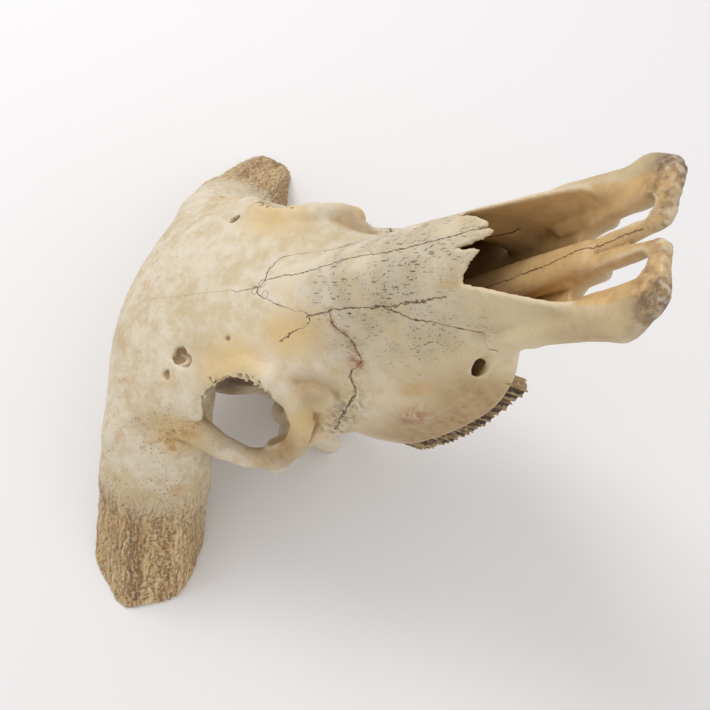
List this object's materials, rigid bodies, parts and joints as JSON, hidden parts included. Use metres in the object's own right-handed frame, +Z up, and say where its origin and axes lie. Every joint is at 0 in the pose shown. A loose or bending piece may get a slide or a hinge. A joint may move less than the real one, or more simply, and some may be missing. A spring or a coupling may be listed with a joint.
{
  "type": "water buffalo skull",
  "caption": "Bleached water buffalo skull without lower jaw or horn sheaths: sawn horn cores, broad domed forehead, eye sockets, broken nose bones, snout bones and upper cheek teeth.",
  "frame": {"origin": "middle of the outline's box, on the ground that the sawn horn cores rest on", "axes": "+Z straight up, with the nose pointing up and forward; +Y towards the animal's left horn core; +X the way the palate faces"},
  "size_m": [0.3855, 0.4898, 0.4096],
  "materials": {
    "bone": "matte",
    "tooth": "satin"
  },
  "bodies": {
    "root": {"cranium": "bone", "premolar_2_left": "tooth", "premolar_3_left": "tooth", "premolar_4_left": "tooth", "molar_1_left": "tooth", "molar_2_left": "tooth", "molar_3_left": "tooth", "premolar_2_right": "tooth", "premolar_3_right": "tooth", "premolar_4_right": "tooth", "molar_1_right": "tooth", "molar_2_right": "tooth", "molar_3_right": "tooth"}
  },
  "joints": []
}
